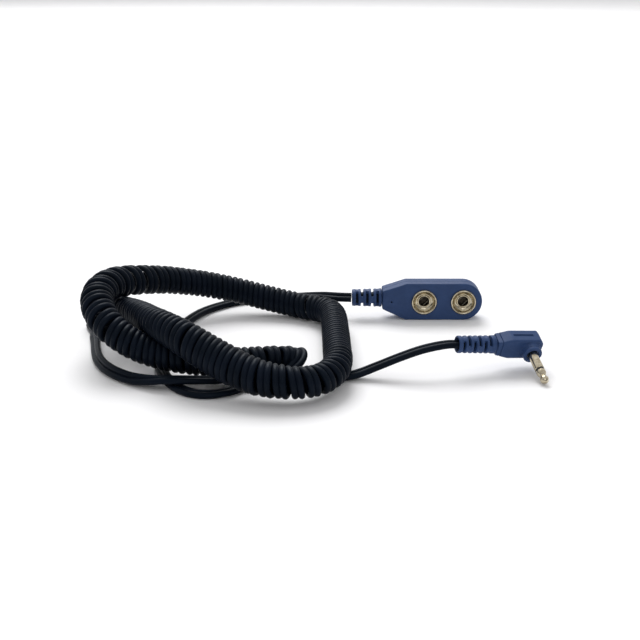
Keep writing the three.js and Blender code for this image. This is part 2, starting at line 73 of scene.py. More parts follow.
class Nodes:
    """A material's node tree, with short ways to add to it. Coordinates are in metres."""

    def __init__(self, name):
        self.material = bpy.data.materials.new(name)
        self.material.use_nodes = True
        self.tree = self.material.node_tree
        self.shader = self.tree.nodes["Principled BSDF"]
        self.place = self.add("ShaderNodeTexCoord").outputs["Object"]

    def add(self, kind, **settings):
        node = self.tree.nodes.new(kind)
        for key, value in settings.items():
            setattr(node, key, value)
        return node

    def link(self, output, socket):
        self.tree.links.new(output, socket)

    def noise(self, size, detail=3.0, vector=None):
        """Noise whose features are about size metres across."""
        node = self.add("ShaderNodeTexNoise")
        node.inputs["Scale"].default_value = 1 / size
        node.inputs["Detail"].default_value = detail
        node.inputs["Roughness"].default_value = 0.55
        self.link(self.place if vector is None else vector, node.inputs["Vector"])
        return node.outputs["Fac"]

    def stretched(self, scale):
        """The coordinates scaled along each axis, to draw a pattern out along one of them."""
        node = self.add("ShaderNodeMapping")
        node.inputs["Scale"].default_value = scale
        self.link(self.place, node.inputs["Vector"])
        return node.outputs["Vector"]

    def ramp(self, source, stops):
        """stops are (position, colour) pairs."""
        node = self.add("ShaderNodeValToRGB")
        elements = node.color_ramp.elements
        while len(elements) < len(stops):
            elements.new(0.5)
        for element, (position, colour) in zip(elements, stops):
            element.position = position
            element.color = (*colour, 1)
        self.link(source, node.inputs["Fac"])
        return node.outputs["Color"]

    def spread(self, source, low, high):
        """The middle of a noise's range, 0.3 to 0.7, mapped to low to high."""
        node = self.add("ShaderNodeMapRange")
        values = {"From Min": 0.3, "From Max": 0.7, "To Min": low, "To Max": high}
        for key, value in values.items():
            node.inputs[key].default_value = value
        self.link(source, node.inputs["Value"])
        return node.outputs["Result"]

    def bump(self, height, distance, strength):
        node = self.add("ShaderNodeBump")
        node.inputs["Distance"].default_value = distance
        node.inputs["Strength"].default_value = strength
        self.link(height, node.inputs["Height"])
        return node.outputs["Normal"]

    def set(self, **values):
        """Sets or links the shader's sockets; names use _ for a space."""
        for key, value in values.items():
            socket = self.shader.inputs[key.replace("_", " ")]
            if isinstance(value, bpy.types.NodeSocket):
                self.link(value, socket)
            elif isinstance(value, tuple):
                socket.default_value = (*value, 1)
            else:
                socket.default_value = value
        return self.material


def shade(colour):
    """Linear colour from a 0-255 sRGB triple."""
    parts = [v / 255 for v in colour]
    return tuple(v / 12.92 if v <= 0.04045 else ((v + 0.055) / 1.055) ** 2.4 for v in parts)


# ---- materials ----


def pvc_jacket():
    """Blue-black flexible PVC: satin, with a faint extrusion texture and handling dust."""
    n = Nodes("cord_jacket")
    patches = n.noise(9 * MM, 4)
    grain = n.noise(0.35 * MM, 2)
    colour = n.ramp(patches, [(0.3, shade((9, 14, 22))), (0.7, shade((14, 20, 31)))])
    rough = n.spread(n.noise(1.6 * MM, 4), 0.34, 0.46)
    return n.set(Base_Color=colour, Roughness=rough, Specular_IOR_Level=0.07,
                 Specular_Tint=(0.7, 0.86, 1.0), Normal=n.bump(grain, 0.02 * MM, 0.6))


def moulded_blue():
    """Slate-blue moulded PVC: an even satin with a fine spark-eroded grain."""
    n = Nodes("blue_plastic")
    clouds = n.noise(6 * MM, 4)
    grain = n.noise(0.22 * MM, 2)
    colour = n.ramp(clouds, [(0.3, shade((40, 62, 102))), (0.7, shade((46, 69, 111)))])
    rough = n.spread(n.noise(0.9 * MM, 4), 0.42, 0.58)
    return n.set(Base_Color=colour, Roughness=rough, Specular_IOR_Level=0.22,
                 Normal=n.bump(grain, 0.03 * MM, 0.7))


def plated_nickel():
    """Warm bright nickel with fine turning marks and slight tarnish."""
    n = Nodes("nickel")
    tarnish = n.noise(1.4 * MM, 5)
    colour = n.ramp(tarnish, [(0.35, shade((173, 161, 136))), (0.65, shade((209, 200, 179)))])
    rough = n.spread(n.noise(0.5 * MM, 4), 0.12, 0.26)
    marks = n.noise(0.12 * MM, 2)
    return n.set(Base_Color=colour, Metallic=1.0, Roughness=rough,
                 Normal=n.bump(marks, 0.01 * MM, 0.4))


def shaded_nickel():
    """The dull inside of the socket, seen through the stud hole: nickel darkened with painted shade,
    standing in for the shade of the closed space behind the hole.
    """
    n = Nodes("shaded_nickel")
    tarnish = n.noise(0.7 * MM, 4)
    # painted shade: both colour stops are darkened nickel for the shade inside the socket; the tarnish
    # noise only varies the tone between them
    colour = n.ramp(tarnish, [(0.35, shade((34, 31, 28))), (0.65, shade((62, 57, 50)))])
    return n.set(Base_Color=colour, Metallic=1.0, Roughness=n.spread(n.noise(0.3 * MM), 0.4, 0.6))


def spring_wire():
    n = Nodes("spring_steel")
    clouds = n.noise(0.5 * MM, 4)
    colour = n.ramp(clouds, [(0.3, shade((86, 82, 74))), (0.7, shade((118, 114, 104)))])
    return n.set(Base_Color=colour, Metallic=1.0, Roughness=n.spread(n.noise(0.2 * MM), 0.25, 0.4))


def black_ring():
    n = Nodes("black_insulator")
    clouds = n.noise(0.4 * MM, 3)
    colour = n.ramp(clouds, [(0.3, (0.004, 0.004, 0.004)), (0.7, (0.011, 0.011, 0.012))])
    return n.set(Base_Color=colour, Roughness=n.spread(n.noise(0.3 * MM), 0.3, 0.45))


def resistor_paint():
    n = Nodes("resistor_coat")
    clouds = n.noise(0.8 * MM, 3)
    colour = n.ramp(clouds, [(0.3, shade((186, 162, 118))), (0.7, shade((206, 184, 142)))])
    return n.set(Base_Color=colour, Roughness=n.spread(n.noise(0.3 * MM), 0.35, 0.5))


def bare_copper():
    n = Nodes("copper")
    strands = n.noise(0.25 * MM, 3, vector=n.stretched((0.15, 1, 1)))
    colour = n.ramp(strands, [(0.3, shade((150, 84, 46))), (0.7, shade((202, 128, 78)))])
    return n.set(Base_Color=colour, Metallic=1.0, Roughness=n.spread(strands, 0.25, 0.45),
                 Normal=n.bump(strands, 0.05 * MM, 0.8))


LOOKS = {
    "cord_jacket": pvc_jacket(),
    "blue_plastic": moulded_blue(),
    "nickel": plated_nickel(),
    "spring_steel": spring_wire(),
    "black_insulator": black_ring(),
    "resistor_coat": resistor_paint(),
    "copper": bare_copper(),
}

# ---- mesh helpers ----

MERGE_METRES = 0.002 * MM         # points closer than this become one in a finished mesh
MERGE_MILLIMETRES = 0.001         # and in the parts of a boolean, which are in millimetres


def make_piece(name, mesh, slot, body=BODY, replaces=()):
    """A finished piece: its material and slot, the body that it rides on, the nodes it replaces."""
    piece = bpy.data.objects.new(name, mesh)
    bpy.context.scene.collection.objects.link(piece)
    mesh.materials.clear()
    mesh.materials.append(LOOKS[slot])
    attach(piece, body)
    if replaces:
        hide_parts(*replaces)
    return piece


def mesh_from(name, points, faces):
    mesh = bpy.data.meshes.new(name)
    mesh.from_pydata([tuple(p) for p in points], [], faces)
    mesh.validate()
    return mesh


def tidied(mesh, sharp_angle=35):
    """Merges doubles, turns the faces out, and shades smooth but for edges over the angle."""
    bm = bmesh.new()
    bm.from_mesh(mesh)
    bmesh.ops.remove_doubles(bm, verts=bm.verts, dist=MERGE_METRES)
    bmesh.ops.recalc_face_normals(bm, faces=bm.faces)
    limit = math.radians(sharp_angle)
    for face in bm.faces:
        face.smooth = True
    for edge in bm.edges:
        edge.smooth = len(edge.link_faces) == 2 and edge.calc_face_angle(0) < limit
    bm.to_mesh(mesh)
    bm.free()
    return mesh


def rings_mesh(name, rings, closed=False):
    """Faces between rings of equally many points. closed joins the last ring to the first;
    otherwise both ends get a cap."""
    count = len(rings[0])
    points = [p for ring in rings for p in ring]
    faces = []
    pairs = len(rings) if closed else len(rings) - 1
    for i in range(pairs):
        a = i * count
        b = ((i + 1) % len(rings)) * count
        for k in range(count):
            m = (k + 1) % count
            faces.append((a + k, a + m, b + m, b + k))
    if not closed:
        faces.append(tuple(range(count - 1, -1, -1)))
        last = (len(rings) - 1) * count
        faces.append(tuple(range(last, last + count)))
    return mesh_from(name, points, faces)


def combined(mesh, other, how):
    """mesh UNION or DIFFERENCE other, as a new mesh."""
    pair = []
    for k, part in enumerate((mesh, other)):
        bm = bmesh.new()
        bm.from_mesh(part)
        bmesh.ops.remove_doubles(bm, verts=bm.verts, dist=MERGE_MILLIMETRES)
        bmesh.ops.recalc_face_normals(bm, faces=bm.faces)
        bm.to_mesh(part)
        bm.free()
        thing = bpy.data.objects.new(f"boolean_{k}", part)
        bpy.context.scene.collection.objects.link(thing)
        pair.append(thing)
    modifier = pair[0].modifiers.new("boolean", "BOOLEAN")
    modifier.operation = how
    modifier.solver = "EXACT"
    modifier.object = pair[1]
    bpy.context.view_layer.update()
    graph = bpy.context.evaluated_depsgraph_get()
    result = bpy.data.meshes.new_from_object(pair[0].evaluated_get(graph))
    for thing in pair:
        bpy.data.objects.remove(thing)
    return result


def in_place(mesh, at=None):
    """A mesh made in millimetres, scaled to metres and moved by the matrix at."""
    mesh.transform(Matrix.Scale(MM, 4))
    if at is not None:
        mesh.transform(at)
    return mesh


def circle(sides):
    """The angles of a circle's points."""
    return [2 * math.pi * k / sides for k in range(sides)]


def rounded(corners, arc_step=12):
    """(middle, radius, angle) of each point of a convex outline, counterclockwise, whose
    corners are (a, b, radius). See inset()."""
    out = []
    count = len(corners)
    for i, (a, b, radius) in enumerate(corners):
        here = np.array((a, b), float)
        normals = []
        for start, end in ((corners[i - 1], corners[i]), (corners[i], corners[(i + 1) % count])):
            along = np.array(end[:2], float) - np.array(start[:2], float)
            along /= np.linalg.norm(along)
            normals.append(np.array((along[1], -along[0])))
        middle = here - (normals[0] + normals[1]) * radius / (1 + normals[0] @ normals[1])
        first = math.atan2(normals[0][1], normals[0][0])
        turn = (math.atan2(normals[1][1], normals[1][0]) - first) % (2 * math.pi)
        steps = max(4, math.ceil(math.degrees(turn) / arc_step))
        out += [(middle, radius, first + turn * k / steps) for k in range(steps + 1)]
    return out


def inset(outline, distance):
    """The outline's points, moved inwards."""
    return [(m[0] + (r - distance) * math.cos(a), m[1] + (r - distance) * math.sin(a))
            for m, r, a in outline]


def quarter(edge, steps=5):
    """(inset, depth) pairs of an edge rounded by a quarter circle of radius edge."""
    angles = [math.pi / 2 * k / steps for k in range(steps + 1)]
    return [(edge * (1 - math.cos(t)), edge * (1 - math.sin(t))) for t in angles]


def edged_slab(name, outline, low, high, low_edge, high_edge, place):
    """A slab of the outline from low to high with rounded edges; place(a, b, h) gives a point."""
    levels = [(i, low + d) for i, d in reversed(quarter(low_edge))]
    levels += [(i, high - d) for i, d in quarter(high_edge)]
    rings = [[place(a, b, h) for a, b in inset(outline, i)] for i, h in levels]
    return rings_mesh(name, rings)


def along_y(a, b, h):
    return (a, h, b)


def along_z(a, b, h):
    return (a, b, h)


def lathe_y(name, profile, centre, segments=96, way=1):
    """A closed profile of (radius, depth) turned about a line along Y; way is the depth's sign."""
    x, y, z = centre
    rings = [[(x + r * math.cos(t), y + way * d, z + r * math.sin(t)) for r, d in profile]
             for t in circle(segments)]
    return rings_mesh(name, rings, closed=True)


def smooth_profile(stops, step=0.12):
    """A lathe profile's stops joined by a smooth curve."""
    return [tuple(q[:2]) for q in spline([(r, d, 0) for r, d in stops], step)]


def swept_round(name, line, radius):
    """A round wire along a line that is never parallel to the direction used for its side."""
    line = np.array(line, float)
    heading = tangents_of(line)
    side = unit(np.cross(heading, (0.3, 1.0, 0.2)))
    over = np.cross(heading, side)
    rings = [[p + radius * (math.cos(t) * s + math.sin(t) * o) for t in circle(16)]
             for p, s, o in zip(line, side, over)]
    return rings_mesh(name, rings)


def even_shading(piece):
    """Keeps big flat faces flat next to their rounded edges."""
    modifier = piece.modifiers.new("even_shading", "WEIGHTED_NORMAL")
    modifier.keep_sharp = True
    modifier.weight = 100
    return piece


# ---- the cord ----

WIRE_R = 1.2 * MM                 # one insulated conductor
WIRE_SPACING = 2.3 * MM           # between the two conductors' middles
SAMPLES_PER_TURN = 26
LEAD_STEP = 1.0 * MM
AXIS_STEP = 0.25 * MM
CLOSED_PITCH = 4.7 * MM           # between turns that touch
FLOOR_GAP = 0.02 * MM             # under the cord where it lies down

# the lead from the head to the coil: x, y, z and its tilt in degrees, 0 where it lies flat
HEAD_LEAD = [
    (-0.0277, -0.00281, 0.0087, -25), (-0.033, -0.0022, 0.0087, -25), (-0.039, 0.0016, 0.0079, -20),
    (-0.046, 0.0074, 0.0061, -8), (-0.054, 0.0132, 0.0038, 0), (-0.062, 0.0164, 0.0021, 0),
    (-0.070, 0.0164, 0.0013, 0), (-0.0785, 0.013, 0.00125, 0), (-0.086, 0.007, 0.00125, 0),
    (-0.0915, 0, 0.00125, 0), (-0.0955, -0.009, 0.00125, 0), (-0.0985, -0.020, 0.00125, 0),
    (-0.100, -0.034, 0.00125, 0), (-0.1005, -0.048, 0.00125, 0), (-0.100, -0.060, 0.00125, 0),
    (-0.0975, -0.069, 0.00125, 0), (-0.092, -0.079, 0.00125, 0), (-0.0865, -0.084, 0.00125, 0),
    (-0.0805, -0.0856, 0.00125, 0), (-0.074, -0.0836, 0.00125, 0), (-0.0685, -0.0792, 0.00125, 0),
    (-0.064, -0.0746, 0.00125, 0), (-0.0585, -0.0724, 0.0013, 0),
]
# from there it climbs across the front of the coil's end into its first turn
INTO_COIL = [(-0.0552, -0.0712, 0.0019), (-0.0516, -0.0691, 0.0038), (-0.0485, -0.0663, 0.0061)]

# the coil's axis, from the turn that the head's lead enters to the one that the plug's leaves
COIL_AXIS = [
    (-0.05, -0.0623, 0.005), (-0.0585, -0.0651, 0.0057), (-0.0708, -0.0673, 0.0058),
    (-0.083, -0.0682, 0.0065), (-0.0908, -0.0685, 0.0076), (-0.0967, -0.0679, 0.0086),
    (-0.1025, -0.0669, 0.0099), (-0.1077, -0.0658, 0.0117), (-0.1129, -0.064, 0.0142),
    (-0.1178, -0.0614, 0.0173), (-0.1216, -0.057, 0.0202), (-0.1241, -0.051, 0.0224),
    (-0.1251, -0.0431, 0.0237), (-0.1243, -0.0349, 0.0239), (-0.1222, -0.027, 0.0231),
    (-0.1188, -0.0207, 0.0219), (-0.1145, -0.0155, 0.0206), (-0.1096, -0.0108, 0.0192),
    (-0.1045, -0.0069, 0.0178), (-0.0991, -0.0039, 0.0163), (-0.0936, -0.0014, 0.0148),
    (-0.0875, 0.0005, 0.0132), (-0.0761, 0.0015, 0.0104), (-0.0641, -0.0002, 0.0078),
    (-0.0525, -0.0032, 0.0059), (-0.047, -0.0061, 0.0057), (-0.0418, -0.009, 0.0058),
    (-0.0382, -0.013, 0.0063), (-0.036, -0.0195, 0.007), (-0.035, -0.0421, 0.0077),
    (-0.0347, -0.0625, 0.0081), (-0.0346, -0.0714, 0.0082), (-0.0357, -0.0784, 0.0079),
    (-0.0383, -0.0835, 0.0075), (-0.0417, -0.087, 0.0073), (-0.0461, -0.0893, 0.0074),
    (-0.0509, -0.0903, 0.0077), (-0.0607, -0.0893, 0.0088), (-0.0691, -0.086, 0.0107),
    (-0.0777, -0.0816, 0.0137), (-0.0821, -0.0795, 0.0156), (-0.0866, -0.077, 0.0175),
    (-0.0915, -0.0728, 0.0188), (-0.0969, -0.0669, 0.0192), (-0.1021, -0.0592, 0.0185),
    (-0.1073, -0.049, 0.0168), (-0.1127, -0.0391, 0.0148), (-0.1181, -0.0302, 0.0128),
    (-0.1242, -0.0217, 0.0109), (-0.1296, -0.0149, 0.009), (-0.1332, -0.0122, 0.0078),
    (-0.1362, -0.0111, 0.0068),
]
# how far the turns stand apart, against turns that touch: (share of the coil, factor)
TURN_SPACING = [
    (0.0, 1.0), (0.09, 1.0), (0.12, 0.97), (0.18, 0.97), (0.21, 1.1), (0.225, 1.45), (0.28, 1.55),
    (0.31, 1.16), (0.34, 1.04), (0.38, 1.0), (0.45, 0.98), (0.46, 1.12), (0.5, 1.12), (0.52, 0.98),
    (0.64, 0.98), (0.66, 0.94), (0.71, 0.95), (0.76, 1.0), (0.81, 0.94), (0.85, 1.0), (0.89, 1.14),
    (0.97, 1.14), (1.0, 1.0),
]
# the coil's outer radius in mm by share of its length: it swells where it climbs
OUTER_RADIUS = [
    (0.0, 4.1), (0.012, 4.9), (0.03, 5.4), (0.12, 5.6), (0.16, 5.8), (0.2, 6.3), (0.27, 6.3),
    (0.31, 6.0), (0.35, 5.7), (0.4, 5.55), (0.5, 5.45), (0.64, 5.4), (0.7, 5.7), (0.735, 6.5),
    (0.765, 6.8), (0.79, 6.6), (0.82, 6.0), (0.86, 5.5), (0.93, 5.3), (1.0, 5.4),
]
# the turns lean back at the coil's first end: (share, slope)
LEAN = [(0.0, 0.6), (0.014, 0.5), (0.03, 0.15), (0.04, 0.0)]
BEND_RADIUS = 1.6 * MM            # how strongly a bend opens the turns
START_ANGLE = math.radians(-20)   # of the first turn's start about the axis, from straight up
END_ANGLE = math.pi               # the last turn ends underneath

# out of the coil's last turn, and on to the plug
OUT_OF_COIL = [(-0.1357, -0.0135, 0.0018), (-0.1358, -0.0158, 0.00135), (-0.1349, -0.0185, 0.0014),
               (-0.1335, -0.0218, 0.0017), (-0.1323, -0.0255, 0.002)]
PLUG_LEAD = [
    (-0.131, -0.0318, 0.00235, 50), (-0.129, -0.039, 0.0024, 50), (-0.1268, -0.048, 0.0024, 50),
    (-0.124, -0.0565, 0.0024, 50), (-0.1198, -0.064, 0.0024, 50), (-0.1145, -0.070, 0.0024, 50),
    (-0.108, -0.0748, 0.0025, 40), (-0.1015, -0.0778, 0.0032, 15), (-0.096, -0.0792, 0.0039, 0),
    (-0.090, -0.0796, 0.00405, 0), (-0.084, -0.0786, 0.0036, 0), (-0.078, -0.077, 0.003, 0),
    (-0.071, -0.0769, 0.0038, 0), (-0.064, -0.0775, 0.00405, 0), (-0.057, -0.0776, 0.0032, 0),
    (-0.050, -0.0768, 0.0019, 0), (-0.042, -0.0742, 0.0013, 0), (-0.034, -0.0708, 0.0013, 0),
    (-0.028, -0.0697, 0.002, 0), (-0.020, -0.0686, 0.0048, 0), (-0.012, -0.0678, 0.0079, 0),
    (-0.0035, -0.0668, 0.0106, 0),
]

# the plug's own frame: X along its body, the pin along -Y
PLUG_AT = Vector((0.036, -0.058, 0.009))
PLUG_TURN = (22.5, 5, 13)         # degrees about X, then Y, then Z
PLUG_FRAME = (Matrix.Translation(PLUG_AT)
              @ Matrix.Rotation(math.radians(PLUG_TURN[2]), 4, "Z")
              @ Matrix.Rotation(math.radians(PLUG_TURN[1]), 4, "Y")
              @ Matrix.Rotation(math.radians(PLUG_TURN[0]), 4, "X"))
PLUG_BACK = -13.1 * MM
PLUG_RELIEF_LENGTH = 14.6         # millimetres
PLUG_TAIL = PLUG_BACK - 0.3 * MM - PLUG_RELIEF_LENGTH * MM


def on_plug_axis(x):
    """The place x metres along the plug's body, with no tilt added, as a stop of a lead."""
    return (*(PLUG_FRAME @ Vector((x, 0.0, 0.0))), 0)


def spline(stops, step, before=None, after=None):
    """Points about step apart on a centripetal Catmull-Rom spline through the stops, whose
    first three values are the place. Any more values are carried along with it. before and
    after are points of the neighbouring lines, which it runs smoothly into."""
    p = np.array(stops, float)
    before = 2 * p[0] - p[1] if before is None else before
    after = 2 * p[-1] - p[-2] if after is None else after
    p = np.vstack([before, p, after])
    gaps = np.linalg.norm(np.diff(p[:, :3], axis=0), axis=1)
    spans = gaps ** 0.5
    out = []
    for i in range(1, len(p) - 2):
        p0, p1, p2, p3 = p[i - 1:i + 3]
        d0, d1, d2 = spans[i - 1:i + 2]
        t1 = ((p1 - p0) / d0 - (p2 - p0) / (d0 + d1) + (p2 - p1) / d1) * d1
        t2 = ((p2 - p1) / d1 - (p3 - p1) / (d1 + d2) + (p3 - p2) / d2) * d1
        count = max(2, math.ceil(gaps[i] / step))
        t = np.linspace(0, 1, count, endpoint=False)[:, None]
        cubic = (2 * p1 - 2 * p2 + t1 + t2) * t ** 3
        square = (3 * p2 - 3 * p1 - 2 * t1 - t2) * t ** 2
        out.append(cubic + square + t1 * t + p1)
    out.append(p[-2][None])
    return np.vstack(out)


def unit(vectors):
    return vectors / np.maximum(np.linalg.norm(vectors, axis=-1, keepdims=True), 1e-12)


def tangents_of(line):
    return unit(np.gradient(line, axis=0))


def lengths_along(line):
    steps = np.linalg.norm(np.diff(line, axis=0), axis=1)
    return np.concatenate([[0], np.cumsum(steps)])


def at_lengths(line, along, wanted):
    """The line's points at the wanted lengths, given the length at each of its own points."""
    return np.stack([np.interp(wanted, along, line[:, k]) for k in range(line.shape[1])], axis=1)


def turn_wobble(share):
    """Small uneven spacing between turns, as a handled coil has."""
    waves = ((131, 0.4, 0.015), (57, 1.9, 0.02), (23, 0.7, 0.01))
    return 1 + sum(size * np.sin(rate * share + phase) ** 2 for rate, phase, size in waves)


def by_share(table, share):
    """A table's value, in straight steps, at a share of the coil's length."""
    return np.interp(share, *zip(*table))


def smoothed(values):
    """A running mean."""
    window = 24
    wide = np.convolve(np.pad(values, window, "edge"), np.ones(window) / window, "same")
    return wide[window:window + len(values)]


def coil_line():
    """(the middle of the cord through the coil, the coil's own axis direction there)."""
    axis = spline(COIL_AXIS, 0.4 * MM)
    along = lengths_along(axis)
    total = along[-1]
    even = np.linspace(0, total, int(total / AXIS_STEP))
    share = even / total
    axis = at_lengths(axis, along, even)
    radius = by_share(OUTER_RADIUS, share) * MM
    axis[:, 2] = np.maximum(axis[:, 2], radius + 0.05 * MM)
    heading = tangents_of(axis)
    bend = smoothed(np.linalg.norm(np.gradient(heading, even, axis=0), axis=1))
    pitch = CLOSED_PITCH * by_share(TURN_SPACING, share) * turn_wobble(share)
    pitch /= np.clip(1 - BEND_RADIUS * bend, 0.85, 1)
    angle = START_ANGLE + np.concatenate([[0], np.cumsum(2 * np.pi / pitch[:-1] * np.diff(even))])
    turns = round((angle[-1] - END_ANGLE) / (2 * np.pi))
    angle = START_ANGLE + (angle - START_ANGLE) * (
        (END_ANGLE + turns * 2 * np.pi - START_ANGLE) / (angle[-1] - START_ANGLE))
    wanted = np.linspace(angle[0], angle[-1], int(abs(turns) * SAMPLES_PER_TURN))
    place = np.interp(wanted, angle, even)
    centre = at_lengths(axis, even, place)
    d = unit(at_lengths(heading, even, place))
    up = unit(np.array([0, 0, 1.0]) - d[:, 2:3] * d)
    side = np.cross(d, up)
    reach = (np.interp(place, even, radius) - WIRE_R)[:, None]
    lean = by_share(LEAN, place / total)[:, None]
    turn = np.cos(wanted)[:, None]
    line = centre + reach * (turn * up + np.sin(wanted)[:, None] * side - lean * turn * d)
    return line, d


def lead_sides(line, rolls):
    """The cord's width direction on a lead, rolled by so many degrees about it."""
    heading = tangents_of(line)
    flat = unit(np.cross([0, 0, 1.0], heading))
    over = np.cross(heading, flat)
    angle = np.radians(rolls)[:, None]
    return np.cos(angle) * flat + np.sin(angle) * over


def carried_sides(line, first, last):
    """Width directions that turn evenly from the first to the last, with the line between."""
    heading = tangents_of(line)
    sides = [first]
    for a, b in zip(heading[:-1], heading[1:]):
        turn = Vector(a).rotation_difference(Vector(b))
        moved = np.array(turn @ Vector(sides[-1]))
        sides.append(unit(moved - (moved @ b) * b))
    end = heading[-1]
    target = unit(last - (last @ end) * end)
    if sides[-1] @ target < 0:
        target = -target
    twist = math.atan2(np.cross(sides[-1], target) @ end, sides[-1] @ target)
    share = lengths_along(line) / lengths_along(line)[-1]
    eased = share * share * (3 - 2 * share)
    turned = []
    for side, axis, part in zip(sides, heading, eased):
        turned.append(np.array(Matrix.Rotation(twist * part, 3, Vector(axis)) @ Vector(side)))
    return np.array(turned)


def aligned(sides, previous):
    """The same sides, or their opposites, whichever carries on from the previous one."""
    return -sides if sides[0] @ previous < 0 else sides


def cord_line():
    """The whole cord's middle line and its width direction at each point."""
    coil, axis = coil_line()
    head = spline(HEAD_LEAD, LEAD_STEP)
    ends = [on_plug_axis(PLUG_TAIL - 3.5 * MM), on_plug_axis(PLUG_TAIL + 1.5 * MM)]
    plug = spline(PLUG_LEAD + ends, LEAD_STEP)
    into = spline([head[-1, :3], *INTO_COIL, coil[0]], LEAD_STEP, head[-4, :3], coil[4])
    out_of = spline([coil[-1], *OUT_OF_COIL, plug[0, :3]], LEAD_STEP, coil[-5], plug[3, :3])

    head_sides = lead_sides(head[:, :3], head[:, 3])
    coil_sides = unit(axis - (axis * tangents_of(coil)).sum(1)[:, None] * tangents_of(coil))
    into_sides = carried_sides(into, head_sides[-1], coil_sides[0])
    coil_sides = aligned(coil_sides, into_sides[-1])
    plug_sides = lead_sides(plug[:, :3], plug[:, 3])
    out_sides = carried_sides(out_of, coil_sides[-1], plug_sides[0])
    plug_sides = aligned(plug_sides, out_sides[-1])

    line = np.vstack([head[:-1, :3], into[:-1], coil[:-1], out_of[:-1], plug[:, :3]])
    sides = np.vstack([head_sides[:-1], into_sides[:-1], coil_sides[:-1], out_sides[:-1], plug_sides])
    lowest = WIRE_R + np.abs(sides[:, 2]) * WIRE_SPACING / 2 + FLOOR_GAP
    line[:, 2] = np.maximum(line[:, 2], lowest)
    return line, sides


def twin_section():
    """The flat twin's outline, (across, over) pairs: two round wires with a notch between."""
    lobe = [math.radians(-142 + 284 * k / 10) for k in range(11)]
    right = [(WIRE_SPACING / 2 + WIRE_R * math.cos(a), WIRE_R * math.sin(a)) for a in lobe]
    left = [(-x, -y) for x, y in right]
    notch = 0.42 * WIRE_R
    return [*right, (0, notch), *left, (0, -notch)]


def make_cord():
    line, sides = cord_line()
    heading = tangents_of(line)
    sides = unit(sides - (sides * heading).sum(1)[:, None] * heading)
    over = np.cross(heading, sides)
    section = twin_section()
    rings = [[p + x * s + y * o for x, y in section] for p, s, o in zip(line, sides, over)]
    mesh = tidied(rings_mesh("cord", rings), 80)
    cord = make_piece("cord", mesh, "cord_jacket", replaces=("head_lead", "coil", "plug_lead"))
    return cord, line


cord, cord_path = make_cord()

# ---- the head, in millimetres ----

FACE_Y = -6.91                    # the snap face
BACK_Y = 1.29
MID_Y = (FACE_Y + BACK_Y) / 2     # the parting line
HEAD_Z = 8.0                      # the middle height
END_X = 27.4                      # the round end
NECK_X = -14.7
TAPER_X = -4.7
HEAD_HALF = 8.0
NECK_ABOVE = 4.65                 # the neck's top over HEAD_Z
NECK_BELOW = 3.25                 # and its bottom under it
NECK_Z = HEAD_Z + (NECK_ABOVE - NECK_BELOW) / 2
HEAD_TAIL_X = -27.4               # the cord's end of the strain relief
HEAD_RELIEF_LENGTH = 12.4
HEAD_EDGE = 0.55
WALL = 1.5
SKIN = 1.6
SOCKETS = {"left": 2.9, "right": 19.4}
BORE_R = 4.9
SEAT_R = 5.6
SEAT_DEPTH = 0.2
PINHOLE = (-10.8, 0.4)            # x and radius
NECK_BORE_R = 2.8
PARTING = (0.12, 0.05)            # how deep and how wide half of the parting line is

FIN = [(-3.4, BACK_Y - 0.6, 0.3), (26.1, BACK_Y - 0.6, 0.3), (26.1, BACK_Y + 1.7, 0.5),
       (17.6, BACK_Y + 6.3, 0.7), (5.8, BACK_Y + 6.3, 0.7)]
FIN_HALF = 1.6
FIN_EDGE = 0.35
FIN_HOLE = (12.4, BACK_Y + 3.15, 2.05)

RIDGES = 6
RIDGE_PITCH = 1.7
RIDGE_HALF = 0.42
RIDGE_PROUD = 0.35


def head_outline():
    return rounded([
        (NECK_X, HEAD_Z - NECK_BELOW, 0.8), (TAPER_X, HEAD_Z - HEAD_HALF, 1.6),
        (END_X, HEAD_Z - HEAD_HALF, HEAD_HALF), (END_X, HEAD_Z + HEAD_HALF, HEAD_HALF),
        (TAPER_X, HEAD_Z + HEAD_HALF, 1.6), (NECK_X, HEAD_Z + NECK_ABOVE, 0.8)], 6)


def hollow_half(name, face, to_middle):
    """One half of the case: face is its outer face's y, to_middle +1 or -1 towards the parting."""
    outline = head_outline()
    deep, half_gap = PARTING
    levels = [(i, face + to_middle * d) for i, d in reversed(quarter(HEAD_EDGE, 6))]
    levels += [(0, MID_Y - to_middle * 3 * half_gap), (deep, MID_Y - to_middle * half_gap)]
    rings = [[(a, h, b) for a, b in inset(outline, i)] for i, h in levels]
    shell = rings_mesh(name, rings)
    inner = face + to_middle * SKIN
    open_end = MID_Y + to_middle * 1.0
    low, high = min(inner, open_end), max(inner, open_end)
    wall = rounded([
        (NECK_X + WALL, HEAD_Z - NECK_BELOW + 1.1, 0.3),
        (TAPER_X + 0.3, HEAD_Z - HEAD_HALF + WALL, 0.5),
        (END_X - WALL, HEAD_Z - HEAD_HALF + WALL, HEAD_HALF - WALL),
        (END_X - WALL, HEAD_Z + HEAD_HALF - WALL, HEAD_HALF - WALL),
        (TAPER_X + 0.3, HEAD_Z + HEAD_HALF - WALL, 0.5),
        (NECK_X + WALL, HEAD_Z + NECK_ABOVE - 1.2, 0.3)])
    cavity = edged_slab("cavity", wall, low, high, 0.1, 0.1, along_y)
    shell = combined(shell, cavity, "DIFFERENCE")
    bore = rod_x("neck_bore", NECK_BORE_R, NECK_X - 1, NECK_X + 3, MID_Y, NECK_Z)
    return combined(shell, bore, "DIFFERENCE")


def rod_x(name, radius, start, end, y, z):
    return rings_mesh(name, [[(x, y + radius * math.cos(t), z + radius * math.sin(t))
                              for t in circle(48)] for x in (start, end)])


def rod_y(name, radius, start, end, x, z, sides=96):
    return rings_mesh(name, [[(x + radius * math.cos(t), y, z + radius * math.sin(t))
                              for t in circle(sides)] for y in (start, end)])


